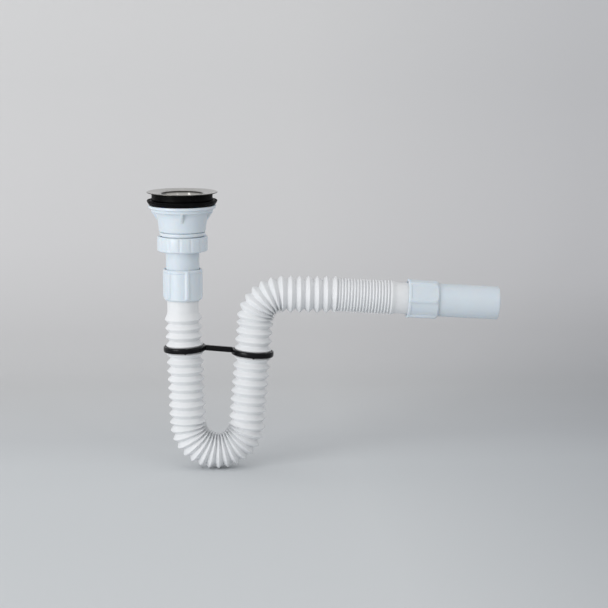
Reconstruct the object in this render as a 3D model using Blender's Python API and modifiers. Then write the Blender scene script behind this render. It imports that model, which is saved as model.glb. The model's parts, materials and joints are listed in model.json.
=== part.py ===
"""A flexible sink trap: a strainer waste, a tailpiece, a bellows hose bent into a U, and an outlet pipe.

Metres, +Z up. The origin is on the waste's axis, in the plane where the sink's sheet is clamped. The hose
hangs below it, turns up again and leaves along +X.
"""

import math

import bmesh
import bpy
from mathutils import Matrix, Vector

# General
gap = 0.0003
sides = 32
small_sides = 24
hose_sides = 14
cut_past = 0.002

# Strainer flange, a pressed steel dish with a bowl
flange_radius = 0.035
flange_rim_z = 0.0081
flange_sheet = 0.0008
flange_dish_drop = 0.0015
flange_edge = 0.0003
flange_hem = 0.0006
bowl_radius = 0.0206
bowl_floor_radius = 0.0165
bowl_depth = 0.0115
bowl_corner = 0.0012
bowl_slots = 8
bowl_slot_width = 0.0034
bowl_slot_inner = 0.0070
bowl_slot_outer = 0.0148

# Centre screw and its brass insert
screw_radius = 0.0026
screw_clearance = 0.00035
screw_length = 0.0200
screw_head_radius = 0.0052
screw_head_height = 0.0028
screw_head_edge = 0.0010
screw_tip = 0.0008
screw_slot_width = 0.0012
screw_slot_depth = 0.0012
screw_slot_turn = math.radians(35)
insert_radius = 0.0043
insert_length = 0.0120
insert_drop = 0.0085

# Seals above and below the sink's sheet
upper_seal_radius = 0.0303
lower_seal_radius = 0.0349
lower_seal_foot_radius = 0.0323
lower_seal_height = 0.0047
lower_seal_bore_radius = 0.0240
lower_seal_wall_height = 0.0021
lower_seal_lip_height = 0.0002
lower_seal_lip_width = 0.0012
lower_seal_groove_depth = 0.0009
lower_seal_groove_width = 0.0010
seal_inner_clearance = 0.0006
seal_edge = 0.0004

# Waste body: rim, ledge, flared cup and threaded spigot
cup_rim_radius = 0.0332
cup_rim_height = 0.0028
cup_ledge_radius = 0.0305
cup_ledge_height = 0.0035
cup_wall = 0.0022
cup_edge = 0.0006
cup_neck_reach = 0.0029
cup_neck_curve = 0.0018
cup_neck_drop = 0.0035
cup_shoulder_reach = 0.0010
cup_shoulder_drop = 0.0105
cup_foot_reach = 0.0021
cup_bottom_z = -0.0311
spigot_wall = 0.0034
spigot_length = 0.0132
gusset_count = 4
gusset_turn = math.radians(-2)
gusset_width = 0.0028
gusset_reach = 0.0302
gusset_drop = 0.0112
gusset_tip = 0.0008
boss_radius = 0.0066
boss_floor = 0.0020
bridge_width = 0.0022
bridge_height = 0.0070
bridge_turn = math.radians(45)

# Upper coupling nut, tailpiece and its washer
upper_nut_wall = 0.0037
upper_nut_grooves = 14
upper_nut_groove_depth = 0.0007
upper_nut_groove_width = 0.0034
upper_nut_groove_floor = 0.0008
upper_nut_turn = math.radians(-7)
upper_nut_top_z = -0.0359
upper_nut_height = 0.0149
upper_nut_lip = 0.0019
upper_nut_edge = 0.0014
washer_height = 0.0020
tailpiece_radius = 0.0166
tailpiece_wall = 0.0021
tailpiece_collar_height = 0.0017
tailpiece_collar_width = 0.0041

# Slip couplings: a long six-ribbed nut, a slip ring and a washer at each end of the hose
slip_nut_wall = 0.0012
slip_nut_rib_height = 0.0013
slip_nut_rib_width = 0.0055
slip_nut_rib_top = 0.0019
slip_nut_ribs = 6
slip_nut_length = 0.0312
slip_nut_lip = 0.0040
slip_nut_chamfer = 0.0030
slip_nut_edge = 0.0008
lower_nut_top_z = -0.0686
lower_nut_turn = math.radians(10)
outlet_nut_turn = math.radians(1.5)
slip_ring_height = 0.0032
thread_height = 0.0008
thread_length = 0.0140
thread_start = 0.0015
thread_runout = 0.0006
thread_recess = 0.0015
thread_clearance = 0.0003
pipe_collar_height = 0.0017

# Hose: a blow-moulded bellows with a plain cuff at each end
cuff_step = 0.0010
hose_wall = 0.0011
bead_clearance = 0.0006
bead_height = 0.0025
bead_edge = 0.0005
inlet_cuff_length = 0.0232
outlet_cuff_taper = 0.0045
outlet_cuff_show = 0.0122
first_ridge = 0.0061
leg_lean = math.radians(2.2)
leg_length = 0.1123
bend_radius = 0.0295
rise_lean = math.radians(4.6)
rise_length = 0.1062
elbow_radius = 0.0273
run_fall = math.radians(1.2)
run_length = 0.0520
arm_fall = math.radians(3.6)
packed_ridges = 18
leg_pitch = 0.00868
bend_pitch = 0.00597
rise_pitch = 0.00867
elbow_pitch = 0.00629
run_pitch = 0.00890
packed_pitch = 0.00307
open_valley_depth = 0.0013
open_ridge_height = 0.0043
packed_valley_depth = 0.0001
packed_ridge_height = 0.0020

# Hose clip: two rings on one bar
clip_height = 0.0052
clip_thickness = 0.0022
clip_edge = 0.0004
clip_rib_height = 0.0034
clip_rib_tip = 0.0008
clip_lift = 0.0005
clip_bar_height = 0.0050
clip_bar_width = 0.0040
clip_leg_ridge = 4
clip_rise_ridge = 9
clip_clearance = 0.00035

# Outlet pipe
outlet_pipe_show = 0.0608
outlet_pipe_edge = 0.0008

# Places that follow from the sizes above
spigot_radius = tailpiece_radius + tailpiece_collar_width + gap
spigot_bore_radius = spigot_radius - spigot_wall
cup_foot_radius = spigot_radius + cup_foot_reach
cup_shoulder_radius = cup_foot_radius + cup_shoulder_reach
cup_neck_radius = cup_shoulder_radius + cup_neck_reach
upper_nut_radius = spigot_radius + thread_clearance + upper_nut_wall
seat_z = 0.0
hole_top_z = flange_rim_z - flange_dish_drop
bowl_floor_z = hole_top_z - bowl_depth
seal_bore_radius = bowl_radius + flange_sheet + seal_inner_clearance
cup_top_z = seat_z - gap / 2 - lower_seal_height - gap
cup_rim_bottom_z = cup_top_z - cup_rim_height
cup_ledge_bottom_z = cup_rim_bottom_z - cup_ledge_height
spigot_bottom_z = cup_bottom_z - spigot_length
insert_top_z = bowl_floor_z - flange_sheet - insert_drop
insert_bottom_z = insert_top_z - insert_length
boss_bottom_z = insert_bottom_z - gap - boss_floor
upper_nut_bottom_z = upper_nut_top_z - upper_nut_height
washer_top_z = spigot_bottom_z - gap
collar_bottom_z = upper_nut_bottom_z + upper_nut_lip + gap
collar_radius = tailpiece_radius + tailpiece_collar_width
thread_radius = tailpiece_radius + thread_height
nut_bore_radius = thread_radius + thread_clearance
slip_nut_radius = nut_bore_radius + slip_nut_wall
slip_nut_rib_radius = slip_nut_radius + slip_nut_rib_height
bead_place = slip_nut_lip + gap + slip_ring_height + gap
washer_place = bead_place + bead_height + gap
pipe_place = washer_place + washer_height + gap
cuff_radius = tailpiece_radius - cuff_step
bead_radius = nut_bore_radius - bead_clearance
slip_bore_radius = cuff_radius + gap
lip_bore_radius = tailpiece_radius + gap
pipe_washer_place = slip_nut_lip + gap + pipe_collar_height + gap
hose_end_place = pipe_washer_place + washer_height + gap
sleeve_place = hose_end_place + bead_height + gap
open_valley_radius = cuff_radius - open_valley_depth
open_peak_radius = open_valley_radius + open_ridge_height
packed_valley_radius = cuff_radius - packed_valley_depth
packed_peak_radius = packed_valley_radius + packed_ridge_height
open_pitches = (leg_pitch, bend_pitch, rise_pitch, elbow_pitch, run_pitch)
lower_nut_bottom_z = lower_nut_top_z - slip_nut_length
cuff_end_z = lower_nut_bottom_z + bead_place + bead_height - inlet_cuff_length


def clear_scene():
    for thing in list(bpy.data.objects):
        bpy.data.objects.remove(thing, do_unlink=True)


def make_collection(name):
    group = bpy.data.collections.new(name)
    bpy.context.scene.collection.children.link(group)
    return group


def material(name, colour, roughness, metallic=0.0):
    made = bpy.data.materials.new(name)
    made.use_nodes = True
    shader = made.node_tree.nodes["Principled BSDF"]
    shader.inputs["Base Color"].default_value = (*colour, 1.0)
    shader.inputs["Roughness"].default_value = roughness
    shader.inputs["Metallic"].default_value = metallic
    return made


def add_object(name, data, group, look=None, place=None):
    thing = bpy.data.objects.new(name, data)
    group.objects.link(thing)
    if look is not None:
        data.materials.append(look)
    if place is not None:
        thing.matrix_world = place
    return thing


def smooth(thing):
    thing.data.shade_smooth()
    thing.data.set_sharp_from_angle(angle=math.radians(35))


def along(point, direction):
    """A matrix that puts local +Z along a direction in the XZ plane and local +Y along world +Y."""
    up = Vector(direction).normalized()
    side = Vector((0, 1, 0))
    across = side.cross(up)
    turn = Matrix((across, side, up)).transposed().to_4x4()
    return Matrix.Translation(point) @ turn


def turned(name, profile, group, look=None, place=None, steps=None):
    """A closed ring from a closed profile of (radius, z) points, given from the outer top downwards."""
    mesh = bpy.data.meshes.new(name)
    shape = bmesh.new()
    corners = [shape.verts.new((radius, 0, z)) for radius, z in profile]
    for first, second in zip(corners, corners[1:] + corners[:1]):
        shape.edges.new((first, second))
    shape.to_mesh(mesh)
    shape.free()
    thing = add_object(name, mesh, group, look, place)
    screw = thing.modifiers.new("Turn", "SCREW")
    screw.angle = math.tau
    screw.steps = steps or sides
    screw.render_steps = steps or sides
    screw.use_merge_vertices = True
    screw.merge_threshold = 0.00001
    return thing


def plug(name, radius, low, high, group, steps=None):
    """A plain cylinder on the Z axis."""
    mesh = bpy.data.meshes.new(name)
    shape = bmesh.new()
    bmesh.ops.create_cone(
        shape,
        cap_ends=True,
        segments=steps or sides,
        radius1=radius,
        radius2=radius,
        depth=high - low,
        matrix=Matrix.Translation((0, 0, (low + high) / 2)),
    )
    shape.to_mesh(mesh)
    shape.free()
    return add_object(name, mesh, group)


def block(name, size, centre, turn, group):
    """A box turned about the Z axis."""
    mesh = bpy.data.meshes.new(name)
    shape = bmesh.new()
    fit = Matrix.Rotation(turn, 4, "Z") @ Matrix.Translation(centre) @ Matrix.Diagonal((*size, 1))
    bmesh.ops.create_cube(shape, size=1, matrix=fit)
    shape.to_mesh(mesh)
    shape.free()
    return add_object(name, mesh, group)


def wedge(name, points, width, turn, group):
    """A flat plate with its outline in the XZ plane, turned about the Z axis."""
    outline = bpy.data.curves.new(name, "CURVE")
    outline.dimensions = "2D"
    outline.fill_mode = "BOTH"
    outline.extrude = width / 2
    line = outline.splines.new("POLY")
    line.points.add(len(points) - 1)
    for point, (x, z) in zip(line.points, points):
        point.co = (x, z, 0, 1)
    line.use_cyclic_u = True
    place = Matrix.Rotation(turn, 4, "Z") @ Matrix.Rotation(math.pi / 2, 4, "X")
    return as_mesh(add_object(name, outline, group, place=place))


def as_mesh(curve_object):
    """The same object as a mesh, with its caps welded on."""
    bpy.context.view_layer.update()
    graph = bpy.context.evaluated_depsgraph_get()
    mesh = bpy.data.meshes.new_from_object(curve_object.evaluated_get(graph))
    shape = bmesh.new()
    shape.from_mesh(mesh)
    bmesh.ops.remove_doubles(shape, verts=shape.verts, dist=0.000001)
    bmesh.ops.recalc_face_normals(shape, faces=shape.faces)
    shape.to_mesh(mesh)
    shape.free()
    name = curve_object.name
    group = curve_object.users_collection[0]
    place = curve_object.matrix_world.copy()
    bpy.data.objects.remove(curve_object, do_unlink=True)
    return add_object(name, mesh, group, place=place)


def combine(thing, other, how):
    """Joins or cuts with another object, which stays as a guide."""
    other.hide_render = True
    other.display_type = "WIRE"
    mix = thing.modifiers.new(how.capitalize(), "BOOLEAN")
    mix.operation = how
    mix.solver = "EXACT"
    mix.object = other


def flange(group, cutters, look):
    dish = [
        (flange_radius, flange_rim_z - flange_edge),
        (flange_radius, flange_rim_z - flange_sheet),
        (flange_radius - flange_hem, flange_rim_z - flange_sheet),
        (bowl_radius + flange_sheet + bowl_corner, hole_top_z - flange_sheet),
        (bowl_radius + flange_sheet, hole_top_z - flange_sheet - bowl_corner),
        (bowl_floor_radius + flange_sheet, bowl_floor_z - flange_sheet + bowl_corner),
        (bowl_floor_radius - bowl_corner + flange_sheet / 2, bowl_floor_z - flange_sheet),
        (screw_radius + screw_clearance, bowl_floor_z - flange_sheet),
        (screw_radius + screw_clearance, bowl_floor_z),
        (bowl_floor_radius - bowl_corner, bowl_floor_z),
        (bowl_floor_radius, bowl_floor_z + bowl_corner),
        (bowl_radius, hole_top_z - bowl_corner),
        (bowl_radius + bowl_corner, hole_top_z),
        (flange_radius - flange_hem, flange_rim_z),
    ]
    thing = turned("strainer_flange", dish, group, look)
    reach = bowl_slot_outer - bowl_slot_inner
    middle = (bowl_slot_inner + bowl_slot_outer) / 2
    for index in range(bowl_slots):
        slot = block(
            f"bowl_slot_{index}",
            (reach, bowl_slot_width, flange_sheet + 2 * cut_past),
            (middle, 0, bowl_floor_z - flange_sheet / 2),
            index * math.tau / bowl_slots,
            cutters,
        )
        combine(thing, slot, "DIFFERENCE")
    return thing


def centre_screw(group, cutters, look):
    seat = bowl_floor_z + gap
    top = seat + screw_head_height
    outline = [
        (0, top),
        (screw_head_radius - screw_head_edge, top),
        (screw_head_radius, top - screw_head_edge),
        (screw_head_radius, seat),
        (screw_radius, seat),
        (screw_radius, seat - screw_length + screw_tip),
        (screw_radius - screw_tip, seat - screw_length),
        (0, seat - screw_length),
    ]
    thing = turned("centre_screw", outline, group, look, steps=small_sides)
    slot = block(
        "screw_slot",
        (2 * screw_head_radius + cut_past, screw_slot_width, 2 * screw_slot_depth),
        (0, 0, top),
        screw_slot_turn,
        cutters,
    )
    combine(thing, slot, "DIFFERENCE")
    return thing


def threaded_insert(group, look):
    bore = screw_radius + screw_clearance
    outline = [
        (insert_radius, insert_top_z),
        (insert_radius, insert_bottom_z),
        (bore, insert_bottom_z),
        (bore, insert_top_z),
    ]
    return turned("threaded_insert", outline, group, look, steps=small_sides)


def dish_underside(radius):
    """Height of the flange's lower face, which slopes in towards the bowl."""
    start = bowl_radius + flange_sheet + bowl_corner
    slope = flange_dish_drop / (flange_radius - flange_hem - start)
    return hole_top_z - flange_sheet + slope * (radius - start)


def upper_seal(group, look):
    foot = seat_z + gap / 2
    inner = seal_bore_radius + bowl_corner
    shoulder = upper_seal_radius - seal_edge
    outline = [
        (shoulder, dish_underside(shoulder) - gap),
        (upper_seal_radius, dish_underside(shoulder) - gap - seal_edge),
        (upper_seal_radius, foot + seal_edge),
        (shoulder, foot),
        (inner, foot),
        (inner, dish_underside(inner) - gap),
    ]
    return turned("upper_seal", outline, group, look)


def lower_seal(group, look):
    top = seat_z - gap / 2
    foot = top - lower_seal_height
    lip_inner = lower_seal_radius - lower_seal_lip_width
    groove_inner = lip_inner - lower_seal_groove_width
    outline = [
        (lower_seal_radius - seal_edge, top + lower_seal_lip_height),
        (lower_seal_radius, top),
        (lower_seal_radius - seal_edge, top - lower_seal_wall_height),
        (lower_seal_foot_radius, foot),
        (lower_seal_bore_radius, foot),
        (lower_seal_bore_radius, top),
        (groove_inner - seal_edge, top),
        (groove_inner, top - lower_seal_groove_depth),
        (lip_inner - seal_edge, top - lower_seal_groove_depth),
        (lip_inner, top + lower_seal_lip_height),
    ]
    return turned("lower_seal", outline, group, look)


def waste_body(group, cutters, look):
    shoulder_z = cup_ledge_bottom_z - cup_shoulder_drop
    outline = [
        (cup_rim_radius, cup_top_z),
        (cup_rim_radius, cup_rim_bottom_z),
        (cup_ledge_radius, cup_rim_bottom_z - cup_edge),
        (cup_ledge_radius, cup_ledge_bottom_z),
        (cup_neck_radius, cup_ledge_bottom_z - cup_edge / 2),
        (cup_neck_radius - cup_neck_curve, cup_ledge_bottom_z - cup_neck_drop),
        (cup_shoulder_radius, shoulder_z),
        (cup_foot_radius, cup_bottom_z),
        (spigot_radius, cup_bottom_z),
        (spigot_radius, spigot_bottom_z + cup_edge),
        (spigot_radius - cup_edge, spigot_bottom_z),
        (spigot_bore_radius, spigot_bottom_z),
        (spigot_bore_radius, cup_bottom_z + cup_wall),
        (cup_foot_radius - cup_wall, cup_bottom_z + cup_wall),
        (cup_shoulder_radius - cup_wall, shoulder_z),
        (cup_neck_radius - cup_neck_curve - cup_wall, cup_ledge_bottom_z - cup_neck_drop / 2),
        (cup_ledge_radius - cup_wall, cup_ledge_bottom_z + cup_wall),
        (cup_ledge_radius - cup_wall, cup_top_z),
    ]
    thing = turned("waste_body", outline, group, look)
    top = cup_ledge_bottom_z + cup_wall / 2
    root = cup_shoulder_radius - cup_wall / 2
    plate = [
        (root, top),
        (gusset_reach, top),
        (gusset_reach, cup_ledge_bottom_z - gusset_tip),
        (root, cup_ledge_bottom_z - gusset_drop),
    ]
    for index in range(gusset_count):
        turn = gusset_turn + index * math.tau / gusset_count
        rib = wedge(f"gusset_{index}", plate, gusset_width, turn, cutters)
        combine(thing, rib, "UNION")
    reach = cup_foot_radius - cup_wall / 2
    for index in range(2):
        bar = block(
            f"bridge_{index}",
            (2 * reach, bridge_width, bridge_height),
            (0, 0, cup_bottom_z + cup_wall / 2 + bridge_height / 2),
            bridge_turn + index * math.pi / 2,
            cutters,
        )
        combine(thing, bar, "UNION")
    boss = plug("boss", boss_radius, boss_bottom_z, insert_top_z - gap, cutters, steps=small_sides)
    combine(thing, boss, "UNION")
    pocket_radius = insert_radius + gap
    pocket_top = insert_top_z + cut_past
    pocket = plug("pocket", pocket_radius, insert_bottom_z - gap, pocket_top, cutters, steps=small_sides)
    combine(thing, pocket, "DIFFERENCE")
    return thing


def ribbed_outline(radius, tip_radius, foot_width, tip_width, count, arc_steps, first):
    """Round outline with tapered ribs, as (x, y) points, counter-clockwise.

    A tip radius below the outline's own makes grooves in the place of ribs.
    """
    points = []
    half = foot_width / 2 / radius
    half_tip = tip_width / 2 / radius
    for index in range(count):
        middle = first + index * math.tau / count
        points.append((radius, middle - half))
        points.append((tip_radius, middle - half_tip))
        points.append((tip_radius, middle + half_tip))
        points.append((radius, middle + half))
        span = math.tau / count - 2 * half
        for step in range(1, arc_steps):
            points.append((radius, middle + half + span * step / arc_steps))
    return [(size * math.cos(angle), size * math.sin(angle)) for size, angle in points]


def nut_blank(name, outline, height, group, look, place):
    """An upright prism from z = 0 to its height in its own frame."""
    curve = bpy.data.curves.new(name, "CURVE")
    curve.dimensions = "2D"
    curve.fill_mode = "BOTH"
    curve.extrude = height / 2
    line = curve.splines.new("POLY")
    line.points.add(len(outline) - 1)
    for point, (x, y) in zip(line.points, outline):
        point.co = (x, y, 0, 1)
    line.use_cyclic_u = True
    thing = as_mesh(add_object(name, curve, group))
    thing.data.transform(Matrix.Translation((0, 0, height / 2)))
    thing.data.materials.append(look)
    thing.matrix_world = place
    return thing


def upper_nut(group, cutters, look):
    """Origin at its lower face, where the lip holds the tailpiece's collar."""
    place = Matrix.Translation((0, 0, upper_nut_bottom_z))
    outline = ribbed_outline(
        upper_nut_radius,
        upper_nut_radius - upper_nut_groove_depth,
        upper_nut_groove_width,
        upper_nut_groove_floor,
        upper_nut_grooves,
        2,
        upper_nut_turn - math.pi / 2,
    )
    thing = nut_blank("upper_nut", outline, upper_nut_height, group, look, place)
    envelope = [
        (upper_nut_radius + cut_past, upper_nut_edge + cut_past),
        (upper_nut_radius + cut_past, -cut_past),
        (upper_nut_radius - upper_nut_edge - cut_past, -cut_past),
    ]
    combine(thing, turned("upper_nut_edge", envelope, cutters, place=place), "DIFFERENCE")
    bore = spigot_radius + thread_clearance
    hole = tailpiece_radius + gap
    inside = [
        (0, upper_nut_height + cut_past),
        (bore, upper_nut_height + cut_past),
        (bore, upper_nut_lip),
        (hole, upper_nut_lip),
        (hole, -cut_past),
        (0, -cut_past),
    ]
    combine(thing, turned("upper_nut_bore", inside, cutters, place=place), "DIFFERENCE")
    return thing


def slip_nut(name, place, turn, group, cutters, look):
    """Local z = 0 is the hose end, and the thread's end is at slip_nut_length."""
    outline = ribbed_outline(
        slip_nut_radius, slip_nut_rib_radius, slip_nut_rib_width, slip_nut_rib_top, slip_nut_ribs, 4, turn
    )
    thing = nut_blank(name, outline, slip_nut_length, group, look, place)
    outer = slip_nut_rib_radius + cut_past
    low = [
        (outer, slip_nut_chamfer + cut_past),
        (outer, -cut_past),
        (slip_nut_radius - slip_nut_chamfer / 2 - cut_past, -cut_past),
        (slip_nut_radius - slip_nut_chamfer / 2, 0),
        (slip_nut_rib_radius, slip_nut_chamfer),
        (slip_nut_rib_radius, slip_nut_chamfer + cut_past),
    ]
    combine(thing, turned(name + "_chamfer", low, cutters, place=place), "DIFFERENCE")
    high = [
        (outer, slip_nut_length + cut_past),
        (outer, slip_nut_length - slip_nut_edge),
        (slip_nut_rib_radius, slip_nut_length - slip_nut_edge),
        (slip_nut_radius - slip_nut_edge / 2, slip_nut_length),
        (slip_nut_radius - slip_nut_edge / 2, slip_nut_length + cut_past),
    ]
    combine(thing, turned(name + "_edge", high, cutters, place=place), "DIFFERENCE")
    inside = [
        (0, slip_nut_length + cut_past),
        (nut_bore_radius, slip_nut_length + cut_past),
        (nut_bore_radius, slip_nut_lip),
        (lip_bore_radius, slip_nut_lip),
        (lip_bore_radius, -cut_past),
        (0, -cut_past),
    ]
    combine(thing, turned(name + "_bore", inside, cutters, place=place), "DIFFERENCE")
    return thing


def slip_ring(name, place, group, look):
    low = slip_nut_lip + gap
    outline = [
        (nut_bore_radius - gap, low + slip_ring_height),
        (nut_bore_radius - gap, low),
        (slip_bore_radius, low),
        (slip_bore_radius, low + slip_ring_height),
    ]
    return turned(name, outline, group, look, place)


def washer(name, low, inner, outer, place, group, look):
    outline = [
        (outer, low + washer_height),
        (outer, low),
        (inner, low),
        (inner, low + washer_height),
    ]
    return turned(name, outline, group, look, place)


def pipe_end(start):
    """Outer points of a threaded pipe end that starts at local z = start, given upwards."""
    return [
        (tailpiece_radius, start),
        (tailpiece_radius, start + thread_start),
        (thread_radius, start + thread_start + thread_runout),
        (thread_radius, start + thread_length - thread_runout),
        (tailpiece_radius, start + thread_length),
    ]


def tailpiece(group, look):
    end_z = lower_nut_bottom_z + pipe_place
    bore = tailpiece_radius - tailpiece_wall
    top = collar_bottom_z + tailpiece_collar_height
    outline = [(collar_radius, top), (collar_radius, collar_bottom_z), (tailpiece_radius, collar_bottom_z)]
    outline += reversed(pipe_end(end_z))
    outline += [(bore, end_z), (bore, top)]
    return turned("tailpiece", outline, group, look)


def outlet_sleeve(place, group, look):
    """Threaded ring on the hose's cuff, which draws the bead up to the washer."""
    top = slip_nut_length - thread_recess
    outline = [
        (thread_radius - thread_runout, top),
        (thread_radius, top - thread_runout),
        (thread_radius, sleeve_place),
        (slip_bore_radius, sleeve_place),
        (slip_bore_radius, top),
    ]
    return turned("outlet_sleeve", outline, group, look, place)


def outlet_pipe(place, group, look):
    """Collared pipe held by the nut's lip, with its free end at -outlet_pipe_show in the nut's frame."""
    bore = tailpiece_radius - tailpiece_wall
    low = slip_nut_lip + gap
    top = low + pipe_collar_height
    outline = [
        (thread_radius, top),
        (thread_radius, low),
        (tailpiece_radius, low),
        (tailpiece_radius, outlet_pipe_edge - outlet_pipe_show),
        (tailpiece_radius - outlet_pipe_edge, -outlet_pipe_show),
        (bore, -outlet_pipe_show),
        (bore, top),
    ]
    return turned("outlet_pipe", outline, group, look, place)


def hose_route():
    """Stretches of the hose's centre line in the XZ plane as (start, heading, length, radius).

    Seen with +X right and +Z up, a radius over 0 bends to the left and one under 0 to the right.
    A radius of 0 is straight.
    """
    start = Vector((0, cuff_end_z))
    heading = -math.pi / 2
    route = [(Vector((0, cuff_end_z + inlet_cuff_length)), heading, inlet_cuff_length, 0)]
    heading += leg_lean
    for length, radius in zip(stretch_lengths(), (0, bend_radius, 0, -elbow_radius, 0)):
        route.append((start.copy(), heading, length, radius))
        start, heading = advance(start, heading, length, radius)
    heading = -arm_fall
    route.append((start.copy(), heading, arm_length(), 0))
    return route


def advance(start, heading, length, radius):
    """The point and heading a length further along a stretch."""
    if radius == 0:
        return start + length * Vector((math.cos(heading), math.sin(heading))), heading
    turn = length / radius
    left = Vector((-math.sin(heading), math.cos(heading)))
    centre = start + radius * left
    later = Vector((-math.sin(heading + turn), math.cos(heading + turn)))
    return centre - radius * later, heading + turn


def stretch_lengths():
    """Lengths of the leg, the bend, the rise, the elbow and the run along the centre line."""
    up = math.pi / 2 - rise_lean
    bend = bend_radius * (up + math.pi / 2 - leg_lean)
    return [leg_length, bend, rise_length, elbow_radius * (up + run_fall), run_length]


def ridge_counts():
    """Ridges after the first one on each stretch."""
    lengths = stretch_lengths()
    lengths[0] -= first_ridge
    return [round(length / pitch) for length, pitch in zip(lengths, open_pitches)]


def ridge_places():
    """Distance of each ridge's crest from the inlet cuff's end, with its crest and valley radii."""
    place = first_ridge
    ridges = [(place, open_peak_radius, open_valley_radius)]
    for count, pitch in zip(ridge_counts(), open_pitches):
        for _ in range(count):
            place += pitch
            ridges.append((place, open_peak_radius, open_valley_radius))
    for _ in range(packed_ridges):
        place += packed_pitch
        ridges.append((place, packed_peak_radius, packed_valley_radius))
    return ridges


def bends_length():
    """Length of the centre line from the inlet cuff's end to the arm's start."""
    return sum(stretch_lengths())


def arm_length():
    """From the arm's start to the hose's outlet end, bead and all."""
    last_ridge = ridge_places()[-1][0]
    inside_nut = slip_nut_length - hose_end_place
    return last_ridge - bends_length() + outlet_cuff_taper + outlet_cuff_show + inside_nut


def point_at(distance):
    """The centre line's point and heading, counted from the inlet cuff's end."""
    route = hose_route()
    if distance < 0:
        start, heading, length, radius = route[0]
        return advance(start, heading, length + distance, radius)
    for start, heading, length, radius in route[1:-1]:
        if distance <= length:
            return advance(start, heading, distance, radius)
        distance -= length
    start, heading, length, radius = route[-1]
    return advance(start, heading, distance, radius)


def hose_sections():
    """Distances from the inlet cuff's end with the hose's outer radius at each."""
    top = -inlet_cuff_length
    sections = [
        (top, bead_radius),
        (top + bead_height - bead_edge, bead_radius),
        (top + bead_height, cuff_radius),
        (0, cuff_radius),
    ]
    ridges = ridge_places()
    for index, (place, peak, valley) in enumerate(ridges):
        sections.append((place, peak))
        if index + 1 < len(ridges):
            later, _, later_valley = ridges[index + 1]
            sections.append(((place + later) / 2, later_valley))
    end = bends_length() + arm_length()
    sections += [
        (ridges[-1][0] + outlet_cuff_taper, cuff_radius),
        (end - bead_height, cuff_radius),
        (end - bead_height + bead_edge, bead_radius),
        (end, bead_radius),
    ]
    return sections


def tube(name, sections, group):
    """A closed tube along the hose's centre line with a radius at each section."""
    curve = bpy.data.curves.new(name, "CURVE")
    curve.dimensions = "3D"
    curve.twist_mode = "MINIMUM"
    curve.bevel_depth = 1.0
    curve.bevel_resolution = (hose_sides - 4) // 2
    curve.use_fill_caps = True
    line = curve.splines.new("POLY")
    line.points.add(len(sections) - 1)
    for point, (distance, radius) in zip(line.points, sections):
        (x, z), _ = point_at(distance)
        point.co = (x, 0, z, 1)
        point.radius = radius
    return as_mesh(add_object(name, curve, group))


def hose(group, cutters, look):
    sections = hose_sections()
    thing = tube("hose", sections, group)
    thing.data.materials.append(look)
    inner = [(distance, radius - hose_wall) for distance, radius in sections[2:-2]]
    first = (sections[0][0] - cut_past, cuff_radius - hose_wall)
    last = (sections[-1][0] + cut_past, cuff_radius - hose_wall)
    combine(thing, tube("hose_bore", [first, *inner, last], cutters), "DIFFERENCE")
    return thing


def ring_place(ridge, lift):
    """The place of a clip ring, square to the hose, a little past the valley before the given ridge."""
    places = ridge_places()
    (x, z), heading = point_at((places[ridge - 1][0] + places[ridge][0]) / 2 + lift)
    return along((x, 0, z), (math.cos(heading), 0, math.sin(heading)))


def hose_clip(group, cutters, look):
    inner = open_peak_radius + clip_clearance
    outer = inner + clip_thickness
    half = clip_height / 2
    rib = clip_rib_height / 2
    flank = (open_peak_radius - open_valley_radius) / (rise_pitch / 2)
    tip = open_valley_radius + flank * (clip_lift + clip_rib_tip / 2) + clip_clearance
    outline = [
        (outer - clip_edge, half),
        (outer, half - clip_edge),
        (outer, clip_edge - half),
        (outer - clip_edge, -half),
        (inner, -half),
        (inner, -rib),
        (tip, -clip_rib_tip / 2),
        (tip, clip_rib_tip / 2),
        (inner, rib),
        (inner, half),
    ]
    leg_place = ring_place(clip_leg_ridge, -clip_lift)
    rise_place = ring_place(sum(ridge_counts()[:2]) + clip_rise_ridge, clip_lift)
    thing = turned("hose_clip", outline, group, look, leg_place, steps=small_sides)
    other = turned("clip_ring", outline, cutters, place=rise_place, steps=small_sides)
    inside_wall = Vector((clip_thickness / 2 - outer, 0, 0))
    start = leg_place @ inside_wall
    end = rise_place @ inside_wall
    size = (clip_bar_height, clip_bar_width, (end - start).length)
    bar = block("clip_bar", size, (0, 0, 0), 0, cutters)
    bar.matrix_world = along((start + end) / 2, end - start)
    combine(thing, other, "UNION")
    combine(thing, bar, "UNION")
    return thing


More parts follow.
